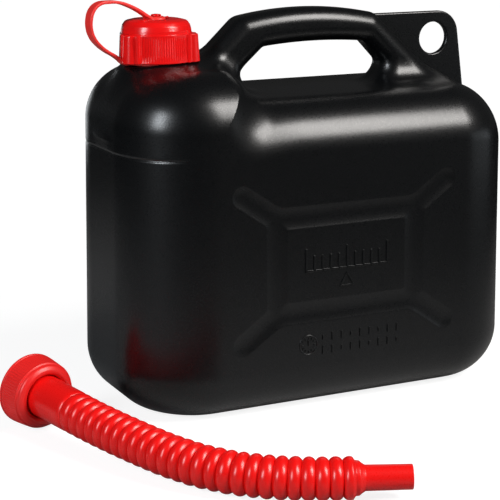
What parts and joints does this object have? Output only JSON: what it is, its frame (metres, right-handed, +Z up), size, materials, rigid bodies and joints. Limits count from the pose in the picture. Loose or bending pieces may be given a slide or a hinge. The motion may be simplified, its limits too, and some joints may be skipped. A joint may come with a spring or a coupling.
{
  "type": "jerry can",
  "caption": "Blow-moulded plastic jerry can with a hollow carry handle, hanging lug, tethered screw cap and a loose flexible pouring spout.",
  "frame": {"origin": "centre of the can's flat underside, on the ground", "axes": "+Z up; X along the can, with the neck and cap towards -X and the hanging lug towards +X; Y across it, with the side that the spout lies beside towards -Y"},
  "size_m": [0.4094, 0.3519, 0.3022],
  "materials": {
    "can_black": "satin black blow-moulded polyethylene",
    "cap_red": "red injection-moulded plastic, soft shine",
    "tether_red": "red flexible plastic, soft shine",
    "nut_red": "red injection-moulded plastic, soft shine",
    "spout_red": "red flexible moulded plastic, shiny",
    "seal_grey": "dark grey elastomer"
  },
  "bodies": {
    "can": {"can_shell": "can_black", "tether_collar": "tether_red"},
    "tether_end": {"tether_eyelet": "tether_red", "tether_strap": "tether_red"},
    "cap": {"screw_cap": "cap_red", "cap_gasket": "seal_grey"},
    "spout": {"spout_neck": "spout_red", "spout_seal": "seal_grey"},
    "nut": {"spout_nut": "nut_red"},
    "bellows_1": {"spout_bellows_1": "spout_red"},
    "bellows_2": {"spout_bellows_2": "spout_red"},
    "bellows_3": {"spout_bellows_3": "spout_red"},
    "bellows_4": {"spout_bellows_4": "spout_red"},
    "bellows_5": {"spout_bellows_5": "spout_red"},
    "bellows_6": {"spout_bellows_6": "spout_red"},
    "bellows_7": {"spout_bellows_7": "spout_red"},
    "nozzle": {"spout_nozzle": "spout_red"}
  },
  "joints": [
    {"name": "cap_lift", "type": "slide", "parent": "can", "child": "tether_end", "axis": [0, 0, 1], "range_m": [0, 0.024], "deforming": ["tether_strap"]},
    {"name": "cap_turn", "type": "hinge", "parent": "tether_end", "child": "cap", "pos_m": [-0.114, 0, 0.27], "axis": [0, 0, 1], "range_deg": [0, 1440]},
    {"name": "spout_lift", "type": "slide", "parent": "can", "child": "spout", "axis": [0, 0, 1], "range_m": [0, 0.15]},
    {"name": "nut_turn", "type": "hinge", "parent": "spout", "child": "nut", "pos_m": [-0.22332, -0.01504, 0.02692], "axis": [0.2623, -0.9626, -0.0683], "continuous": true},
    {"name": "spout_bend_1", "type": "hinge", "parent": "spout", "child": "bellows_1", "pos_m": [-0.2037, -0.08704, 0.02181], "axis": [-0.0534, -0.0851, 0.9949], "range_deg": [-6, 6]},
    {"name": "spout_bend_2", "type": "hinge", "parent": "bellows_1", "child": "bellows_2", "pos_m": [-0.19576, -0.11184, 0.02012], "axis": [-0.0534, -0.0851, 0.9949], "range_deg": [-6, 6]},
    {"name": "spout_bend_3", "type": "hinge", "parent": "bellows_2", "child": "bellows_3", "pos_m": [-0.18697, -0.13636, 0.01849], "axis": [-0.0534, -0.0851, 0.9949], "range_deg": [-6, 6]},
    {"name": "spout_bend_4", "type": "hinge", "parent": "bellows_3", "child": "bellows_4", "pos_m": [-0.17732, -0.16056, 0.01694], "axis": [-0.0534, -0.0851, 0.9949], "range_deg": [-6, 6]},
    {"name": "spout_bend_5", "type": "hinge", "parent": "bellows_4", "child": "bellows_5", "pos_m": [-0.16519, -0.18364, 0.01562], "axis": [-0.0534, -0.0851, 0.9949], "range_deg": [-6, 6]},
    {"name": "spout_bend_6", "type": "hinge", "parent": "bellows_5", "child": "bellows_6", "pos_m": [-0.14906, -0.20414, 0.01473], "axis": [-0.0534, -0.0851, 0.9949], "range_deg": [-6, 6]},
    {"name": "spout_bend_7", "type": "hinge", "parent": "bellows_6", "child": "bellows_7", "pos_m": [-0.12917, -0.22104, 0.01435], "axis": [-0.0534, -0.0851, 0.9949], "range_deg": [-6, 6]},
    {"name": "spout_bend_8", "type": "hinge", "parent": "bellows_7", "child": "nozzle", "pos_m": [-0.1069, -0.23464, 0.01438], "axis": [-0.0534, -0.0851, 0.9949], "range_deg": [-6, 6]}
  ],
  "couplings": [
    {"joint": "cap_lift", "follows": "cap_turn", "m_per_rad": 0.00095493},
    {"joint": "spout_bend_2", "follows": "spout_bend_1", "ratio": 1},
    {"joint": "spout_bend_3", "follows": "spout_bend_1", "ratio": 1},
    {"joint": "spout_bend_4", "follows": "spout_bend_1", "ratio": 1},
    {"joint": "spout_bend_5", "follows": "spout_bend_1", "ratio": 1},
    {"joint": "spout_bend_6", "follows": "spout_bend_1", "ratio": 1},
    {"joint": "spout_bend_7", "follows": "spout_bend_1", "ratio": 1},
    {"joint": "spout_bend_8", "follows": "spout_bend_1", "ratio": 1}
  ]
}
